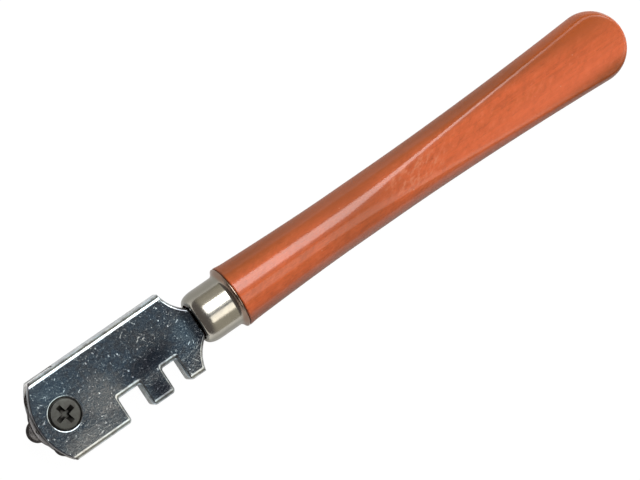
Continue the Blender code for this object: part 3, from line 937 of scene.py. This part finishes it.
def stained_wood():
    """Orange-red stain that sits deeper in the grain, under satin varnish, with painted shade on its
    rounded sides and in its crevices.
    """
    material, tree, shader, where = start_finish(
        "stained_varnished_wood",
        {"Coat Roughness": 0.15, "Coat IOR": 1.55, "Roughness": 0.55, "Specular IOR Level": 0.15},
    )
    fibres = noise(tree, stretched(tree, where, (20, 1, 1)), 1.6, 5.0, 0.6, 0.3)
    streaks = noise(tree, stretched(tree, where, (26, 2, 2)), 0.8, 3.0, 0.5, 0.4)
    pores = remap(tree, noise(tree, stretched(tree, where, (9, 1, 1)), 5.0, 2.0, 0.6), 0.60, 0.70)
    flecks = noise(tree, stretched(tree, where, (2.2, 1, 1), 0.5), 1.3, 4.0, 0.65)
    nicks = specks(tree, where, 0.6, share=0.22, size=0.11)
    across = split(tree, where)[1]
    smudge = share_of(tree, spot(tree, where, FLAT_SMUDGE, 1.0), remap(tree, flecks, 0.45, 0.65))
    tone = two_tone(tree, remap(tree, fibres, 0.3, 0.7), GRAIN_DARK, GRAIN_LIGHT)
    tone = layered(tree, tone, (
        (remap(tree, streaks, 0.4, 0.7), 0.5, STREAK_BROWN),
        (patches(tree, where, 0.30, low=0.3, high=0.7), 0.5, MOTTLE_ORANGE),
        (remap(tree, flecks, 0.5, 0.72), 0.4, FLECK_LIGHT),
        (remap(tree, flecks, 0.48, 0.3), 0.4, FLECK_DARK),
        (pores, 0.3, PORE_BROWN),
        # Painted shade along both rounded sides of the handle.
        (remap(tree, across, *UPPER_SIDE_SHADE_FADE), 0.88, UPPER_SIDE_SHADE_BROWN),
        (remap(tree, across, *LOWER_SIDE_SHADE_FADE), 0.88, LOWER_SIDE_SHADE_BROWN),
        (spot(tree, where, DARK_WAIST, 0.3), 0.62, WAIST_BROWN),
        (spot(tree, where, BROWN_END, 0.3), 0.75, END_BROWN),
        (spot(tree, where, BRIGHT_BELLY, 0.3), 0.5, BELLY_ORANGE),
        (smudge, 0.45, SMUDGE_PINK),
        (nicks, 0.5, NICK_PINK),
        (worn_edges(tree, where, 0.6 * MM, breakup=0.8), 0.5, WORN_WOOD),
        # Painted shade where the wood is closed in.
        (recess_shade(tree, 0.6 * MM, low=0.25, high=0.8), 0.75, WOOD_RECESS_SHADE),
    ))
    tree.links.new(tone, shader.inputs["Base Color"])
    dull_sides = remap(tree, maths(tree, "ABSOLUTE", across), *DULL_SIDE_FADE)
    varnish = maths(tree, "SUBTRACT", 1.0, share_of(tree, dull_sides, 0.65))
    tree.links.new(varnish, shader.inputs["Coat Weight"])
    relief = maths(tree, "SUBTRACT", share_of(tree, fibres, 0.5), share_of(tree, pores, 0.35))
    relief = maths(tree, "ADD", relief, share_of(tree, flecks, 0.7))
    relief = maths(tree, "SUBTRACT", relief, nicks)
    connect_normal(tree, shader, relief, strength=0.42, distance=0.08 * MM)
    return material


PLATE_GREY = (0.64, 0.68, 0.69)
PLATE_BLUE = (0.60, 0.73, 0.82)
PLATE_CLOUDED = (0.22, 0.22, 0.24)
# Painted dark reflection.
PLATE_DARK_REFLECTION = (0.11, 0.12, 0.16)
PLATE_RUBBED = (0.64, 0.64, 0.62)
# Painted blue reflection.
PLATE_BLUE_REFLECTION = (0.62, 0.82, 0.94)
# Painted shade in the head's recesses.
PLATE_RECESS_SHADE = (0.03, 0.03, 0.03)
# Painted dark reflection on the edge of the head's end.
END_EDGE_DARK_REFLECTION = (0.13, 0.12, 0.13)
# Painted shadow on the tang where it enters the ferrule.
NECK_PAINTED_SHADOW = (0.09, 0.08, 0.09)
MILLED_METAL = (0.85, 0.84, 0.83)
# Where a dark reflection is painted, over the middle and the middle tooth.
DARK_REFLECTION_MIDDLE = (-40.5, -0.8, 7.5, 3.2)
DARK_REFLECTION_TOOTH = (-41.5, -6, 3, 3)
RUBBED_MIDDLE = (-51.0, -1.5, 6.5, 6.5)
RUBBED_LOWER_EDGE = (-56, -6.4, 9, 3.5)
# Where a blue reflection is painted, at the upper corner and at the neck.
BLUE_REFLECTION_CORNER = (-58, 4.5, 6, 3.5)
BLUE_REFLECTION_NECK = (-32, 0, 4, 4)
ROUND_SCREW = (-55.6, 0, 4.2, 4.2)
# How strongly shade is painted in recesses: everywhere, and more round the screw.
RECESS_SHADE_EVERYWHERE = 0.25
RECESS_SHADE_ROUND_SCREW = 0.65
NECK_SHADOW_FADE = (-32.4, -30.8)
# The painted dark reflection on the edge of the head's end: by distance from the end's centre, by
# height and along X.
END_EDGE_REACH_FADE = (11.6, 11.8)
END_EDGE_HEIGHT_FADE = (1.2, 1.5)
END_EDGE_X_FADE = (-57.0, -58.0)
# The fork's inside: by height, along X, and inwards from the head's two long sides.
FORK_HEIGHT_FADE = (1.12, 1.07)
FORK_X_FADE = (-47.8, -48.2)
FORK_Y_FADE = (7.85, 7.75)


def end_edge_reflection_mask(tree, across_plate, height, along):
    """Where a dark reflection is painted on the nearly sharp edge of the head's end, above and below
    the fork.
    """
    end_centre = ((HEAD_LOW.x + HEAD_END_RADIUS) * MM_PER_METRE, 0, 0)
    reach = out(vector_maths(tree, "DISTANCE", across_plate, end_centre), "Value")
    edge = share_of(
        tree, remap(tree, reach, *END_EDGE_REACH_FADE), remap(tree, height, *END_EDGE_HEIGHT_FADE)
    )
    return share_of(tree, edge, remap(tree, along, *END_EDGE_X_FADE))


def fork_mask(tree, height, along, side):
    """The milled walls inside the fork."""
    inside = share_of(tree, remap(tree, height, *FORK_HEIGHT_FADE), remap(tree, along, *FORK_X_FADE))
    return share_of(tree, inside, remap(tree, maths(tree, "ABSOLUTE", side), *FORK_Y_FADE))


def bright_plating():
    """Bright plating with cloudy stains, hairline scuffs and small dents."""
    material, tree, shader, where = start_finish("bright_scuffed_plating", {"Metallic": 1.0})
    broad = patches(tree, where, 0.16, low=0.35, high=0.65)
    close = patches(tree, where, 0.95, low=0.40, high=0.62)
    scuffs = scratches(tree, where, 2.4, amount=0.7)
    dents = specks(tree, where, 1.1, share=0.2, size=0.24)
    dust = specks(tree, where, 3.0, share=0.22, size=0.3)
    # Painted dark reflection by the notches.
    dark = either(tree, spot(tree, where, DARK_REFLECTION_MIDDLE), spot(tree, where, DARK_REFLECTION_TOOTH))
    rubbed = either(tree, spot(tree, where, RUBBED_MIDDLE), spot(tree, where, RUBBED_LOWER_EDGE))
    # Painted blue reflection.
    blue_reflection = either(tree, spot(tree, where, BLUE_REFLECTION_CORNER), spot(tree, where, BLUE_REFLECTION_NECK))
    # Painted shade in recesses, heavier round the screw's pocket.
    near_screw = share_of(tree, spot(tree, where, ROUND_SCREW), RECESS_SHADE_ROUND_SCREW)
    recess_shade_share = maths(tree, "ADD", RECESS_SHADE_EVERYWHERE, near_screw)
    recess_shade_mask = share_of(tree, recess_shade(tree, 0.7 * MM, low=0.35, high=0.85), recess_shade_share)
    along, side, up = split(tree, where)
    height = maths(tree, "ABSOLUTE", maths(tree, "SUBTRACT", up, AXIS_Z * MM_PER_METRE))
    on_plate = out(add_node(tree, "ShaderNodeCombineXYZ", {"X": along, "Y": side}))
    milled = fork_mask(tree, height, along, side)
    tone = layered(tree, two_tone(tree, broad, PLATE_GREY, PLATE_BLUE), (
        (close, 0.62, PLATE_CLOUDED),
        # Painted dark reflection.
        (dark, 0.8, PLATE_DARK_REFLECTION),
        (rubbed, 0.6, PLATE_RUBBED),
        # Painted blue reflection.
        (blue_reflection, 0.75, PLATE_BLUE_REFLECTION),
        # Painted shade in recesses.
        (recess_shade_mask, 1.0, PLATE_RECESS_SHADE),
        # Painted dark reflection along the edge of the head's end.
        (end_edge_reflection_mask(tree, on_plate, height, along), 0.85, END_EDGE_DARK_REFLECTION),
        # Painted shadow on the tang where it enters the ferrule.
        (remap(tree, along, *NECK_SHADOW_FADE), 0.75, NECK_PAINTED_SHADOW),
        (milled, 1.0, MILLED_METAL),
    ))
    tree.links.new(tone, shader.inputs["Base Color"])
    roughness = maths(tree, "ADD", 0.08, share_of(tree, close, 0.03))
    for mask, share in ((rubbed, 0.042), (scuffs, 0.18), (dents, 0.26), (dust, 0.11), (milled, 0.4)):
        roughness = maths(tree, "ADD", roughness, share_of(tree, mask, share))
    tree.links.new(roughness, shader.inputs["Roughness"])
    grain = noise(tree, where, 1.9, 5.0, 0.65, 0.5)
    relief = maths(tree, "ADD", grain, share_of(tree, broad, 0.8))
    for mask, share in ((scuffs, 0.4), (dents, 1.2), (dust, 0.4)):
        relief = maths(tree, "SUBTRACT", relief, share_of(tree, mask, share))
    connect_normal(tree, shader, relief, strength=0.25, distance=0.04 * MM)
    return material


NICKEL_LIGHT = (0.74, 0.71, 0.63)
NICKEL_DARK = (0.67, 0.64, 0.58)
NICKEL_SPECK = (0.45, 0.42, 0.36)
# Painted shade in the ferrule's recesses.
NICKEL_RECESS_SHADE = (0.10, 0.08, 0.07)
# Painted shade on the ferrule's rounded sides.
NICKEL_SIDE_SHADE = (0.30, 0.29, 0.255)
FLANGE_BROWN = (0.27, 0.16, 0.11)
NICKEL_SHADED_SIDES_FADE = (2.9, 4.2)
FLANGE_FADE = (-23.1, -22.5)


def satin_nickel():
    """Smooth nickel with faint turning marks, with painted shade on its sides and browner on the
    flange.
    """
    material, tree, shader, where = start_finish("satin_nickel_plating", {"Metallic": 1.0})
    clouds = patches(tree, where, 0.3, low=0.35, high=0.7)
    marks = noise(tree, stretched(tree, where, (1, 30, 30)), 5.0, 3.0, 0.6)
    spots = specks(tree, where, 1.3, share=0.12, size=0.14)
    along, side, _ = split(tree, where)
    tone = layered(tree, two_tone(tree, clouds, NICKEL_LIGHT, NICKEL_DARK), (
        (spots, 0.5, NICKEL_SPECK),
        # Painted shade where the ferrule is closed in.
        (recess_shade(tree, 1.2 * MM, low=0.3, high=0.8), 0.85, NICKEL_RECESS_SHADE),
        # Painted shade on the ferrule's rounded sides.
        (remap(tree, maths(tree, "ABSOLUTE", side), *NICKEL_SHADED_SIDES_FADE), 1.0, NICKEL_SIDE_SHADE),
        (remap(tree, along, *FLANGE_FADE), 0.8, FLANGE_BROWN),
    ))
    tree.links.new(tone, shader.inputs["Base Color"])
    roughness = maths(tree, "ADD", 0.17, share_of(tree, clouds, 0.04))
    roughness = maths(tree, "ADD", roughness, share_of(tree, spots, 0.2))
    tree.links.new(roughness, shader.inputs["Roughness"])
    relief = maths(tree, "SUBTRACT", share_of(tree, marks, 0.4), spots)
    connect_normal(tree, shader, relief, strength=0.15, distance=0.03 * MM)
    return material


STEEL_LIGHT = (0.39, 0.38, 0.385)
STEEL_DARK = (0.29, 0.28, 0.285)
STEEL_WORN = (0.62, 0.60, 0.57)


def stamped_steel():
    """Plain stamped steel, a little stained."""
    material, tree, shader, where = start_finish("stamped_turret_steel", {"Metallic": 1.0})
    stains = patches(tree, where, 0.7, low=0.35, high=0.65)
    brushing = noise(tree, stretched(tree, where, (12, 1, 1), 0.5), 7.0, 3.0, 0.6)
    worn = worn_edges(tree, where, 0.1 * MM, breakup=2.0)
    tone = two_tone(tree, stains, STEEL_LIGHT, STEEL_DARK)
    tone = layered(tree, tone, [(worn, 0.6, STEEL_WORN)])
    tree.links.new(tone, shader.inputs["Base Color"])
    tree.links.new(remap(tree, brushing, 0.3, 0.7, 0.3, 0.45), shader.inputs["Roughness"])
    connect_normal(tree, shader, brushing, strength=0.15, distance=0.02 * MM)
    return material


WHEEL_LIGHT = (0.24, 0.23, 0.23)
WHEEL_DARK = (0.15, 0.14, 0.14)
WHEEL_WORN = (0.5, 0.5, 0.5)


def ground_steel():
    """Hardened steel ground round the wheel's axis, darkened by use."""
    material, tree, shader, where = start_finish("ground_wheel_steel", {"Metallic": 1.0})
    stains = patches(tree, where, 1.2, low=0.35, high=0.65)
    grinding = noise(tree, stretched(tree, where, (1, 1, 0.1)), 3.0, 3.0, 0.6)
    worn = worn_edges(tree, where, 0.1 * MM, breakup=3.0)
    tone = two_tone(tree, stains, WHEEL_LIGHT, WHEEL_DARK)
    tone = layered(tree, tone, [(worn, 0.5, WHEEL_WORN)])
    tree.links.new(tone, shader.inputs["Base Color"])
    tree.links.new(remap(tree, grinding, 0.3, 0.7, 0.22, 0.4), shader.inputs["Roughness"])
    connect_normal(tree, shader, grinding, strength=0.12, distance=0.02 * MM)
    return material


SCREW_LIGHT = (0.112, 0.116, 0.107)
SCREW_DARK = (0.092, 0.090, 0.085)
SCREW_SCRATCHED = (0.17, 0.16, 0.15)
SCREW_WORN = (0.24, 0.23, 0.21)
# Painted shade in the screw's cross and other recesses.
SCREW_RECESS_SHADE = (0.016, 0.013, 0.012)


def dark_screw_steel():
    """Dull dark steel with handling marks on its face."""
    material, tree, shader, where = start_finish("dull_screw_steel", {"Metallic": 1.0})
    stains = patches(tree, where, 0.8, low=0.35, high=0.65)
    scuffs = scratches(tree, where, 3.0, amount=0.5)
    tone = layered(tree, two_tone(tree, stains, SCREW_LIGHT, SCREW_DARK), (
        (scuffs, 0.3, SCREW_SCRATCHED),
        (worn_edges(tree, where, 0.12 * MM, breakup=2.0), 0.2, SCREW_WORN),
        # Painted shade in the cross and where the screw is closed in.
        (recess_shade(tree, 0.9 * MM, low=0.18, high=0.65), 0.84, SCREW_RECESS_SHADE),
    ))
    tree.links.new(tone, shader.inputs["Base Color"])
    tree.links.new(remap(tree, stains, 0, 1, 0.42, 0.52), shader.inputs["Roughness"])
    relief = maths(tree, "SUBTRACT", stains, scuffs)
    connect_normal(tree, shader, relief, strength=0.15, distance=0.03 * MM)
    return material


# Studio

FLOOR_SIZE = 12.0
FLOOR_GAP = 0.2 * MM
LIGHT_DISTANCE = 1.35
LIGHT_LOW_X = -0.05
LIGHT_HIGH_X = 2.0

# Each light's name, its two angles from straight up, its radiance and its colour.
SOFT_BOXES = (
    ("key_soft_box", 7, 40.5, 4.6, (1.0, 1.0, 1.0)),
    ("middle_soft_box", -4, 7, 0.42, (1.0, 1.0, 0.96)),
    ("low_soft_box", -39, -11, 1.25, (1.0, 0.95, 0.86)),
)

ROOM_WALLS = (0.32, 0.30, 0.25)
ROOM_CEILING = (0.050, 0.062, 0.078)
ROOM_FRONT = (0.105, 0.095, 0.090)
CEILING_FADE = (0.80, 0.96)
FRONT_FADE = (0.1, -0.25)
WHITE = (1, 1, 1)

# The floor as the tool's surfaces meet it, and as it shows directly.
FLOOR_BASE = (0.80, 0.80, 0.80)
FLOOR_BASE_SHOWN = (0.06, 0.06, 0.06)
FLOOR_GLOW = (0.08, 0.08, 0.08)
FLOOR_GLOW_SHOWN = (1.04, 1.04, 1.04)


def soft_box(name, low_deg, high_deg, radiance, colour):
    """A rectangular light beside the tool's axis, between two angles from straight up."""
    middle = math.radians((low_deg + high_deg) / 2)
    half = math.radians((high_deg - low_deg) / 2)
    light = bpy.data.lights.new(name, "AREA")
    light.shape = "RECTANGLE"
    light.size = LIGHT_HIGH_X - LIGHT_LOW_X
    light.size_y = 2 * LIGHT_DISTANCE * math.tan(half)
    light.energy = radiance * math.pi * light.size * light.size_y
    light.color = colour
    lamp = bpy.data.objects.new(name, light)
    bpy.context.scene.collection.objects.link(lamp)
    direction = Vector((0, math.sin(middle), math.cos(middle)))
    lamp.location = direction * LIGHT_DISTANCE + Vector(((LIGHT_LOW_X + LIGHT_HIGH_X) / 2, 0, 0))
    lamp.rotation_euler = (-middle, 0, 0)
    lamp.visible_camera = False


def build_surroundings():
    """A dim room: dark straight up, warm grey lower down, and darker towards the cutting end."""
    world = bpy.data.worlds.new("studio_room")
    bpy.context.scene.world = world
    world.use_nodes = True
    tree = world.node_tree
    along, _, up = split(tree, out(add_node(tree, "ShaderNodeTexCoord"), "Generated"))
    room = two_tone(tree, remap(tree, up, *CEILING_FADE), ROOM_WALLS, ROOM_CEILING)
    room = layered(tree, room, [(remap(tree, along, *FRONT_FADE), 1.0, ROOM_FRONT)])
    seen = add_node(tree, "ShaderNodeLightPath")
    shown = layered(tree, room, [(out(seen, "Is Camera Ray"), 1.0, WHITE)])
    background = tree.nodes["Background"]
    tree.links.new(shown, background.inputs["Color"])


def build_floor():
    """A pale floor that shows almost no shadow. The tool meets it as plain light grey paper."""
    mesh = bpy.data.meshes.new("pale_floor")
    half = FLOOR_SIZE / 2
    signs = ((-1, -1), (1, -1), (1, 1), (-1, 1))
    corners = [(half * x_sign, half * y_sign, -FLOOR_GAP) for x_sign, y_sign in signs]
    mesh.from_pydata(corners, [], [(0, 1, 2, 3)])
    floor = bpy.data.objects.new("pale_floor", mesh)
    bpy.context.scene.collection.objects.link(floor)
    material, tree, shader, where = start_finish(
        "pale_floor_paper", {"Roughness": 1.0, "Specular IOR Level": 0.0}
    )
    tint = noise(tree, where, 0.02, 3.0)
    tree.links.new(remap(tree, tint, 0, 1, 0.93, 0.96), shader.inputs["Emission Strength"])
    seen = out(add_node(tree, "ShaderNodeLightPath"), "Is Camera Ray")
    base = two_tone(tree, seen, FLOOR_BASE, FLOOR_BASE_SHOWN)
    glow = two_tone(tree, seen, FLOOR_GLOW, FLOOR_GLOW_SHOWN)
    tree.links.new(base, shader.inputs["Base Color"])
    tree.links.new(glow, shader.inputs["Emission Color"])
    mesh.materials.append(material)


# Camera

CAMERA_LENS = 191.25
SENSOR_WIDTH = 36.0
CAMERA_DISTANCE = 0.5952
CAMERA_LEAN_FRONT = math.radians(14.3)
CAMERA_LEAN_SIDE = math.radians(7.6)
TOOL_RISE = math.radians(34.75)
AIM = Vector((-2.9 * MM, -0.68 * MM, AXIS_Z))


def place_camera():
    """Looks down on the tool from its cutting end, with the handle rising to the right."""
    back = Vector((
        -math.sin(CAMERA_LEAN_FRONT), math.sin(CAMERA_LEAN_SIDE), math.cos(CAMERA_LEAN_FRONT)
    )).normalized()
    along = Vector((1, 0, 0))
    along = (along - along.dot(back) * back).normalized()
    across = back.cross(along)
    right = math.cos(TOOL_RISE) * along - math.sin(TOOL_RISE) * across
    upward = math.sin(TOOL_RISE) * along + math.cos(TOOL_RISE) * across
    camera = bpy.data.cameras.new("studio_camera")
    camera.lens = CAMERA_LENS
    camera.sensor_width = SENSOR_WIDTH
    camera.clip_start = 0.01
    camera.clip_end = 20
    holder = bpy.data.objects.new("studio_camera", camera)
    bpy.context.scene.collection.objects.link(holder)
    turn = Matrix((right, upward, back)).transposed().to_4x4()
    holder.matrix_world = Matrix.Translation(AIM + back * CAMERA_DISTANCE) @ turn
    bpy.context.scene.camera = holder


def build_everything():
    bpy.context.scene.view_settings.view_transform = "Standard"
    place_camera()
    build_surroundings()
    for settings in SOFT_BOXES:
        soft_box(*settings)
    build_floor()
    build_handle()
    build_ferrule()
    build_head()
    build_turret()
    build_screw()


build_everything()
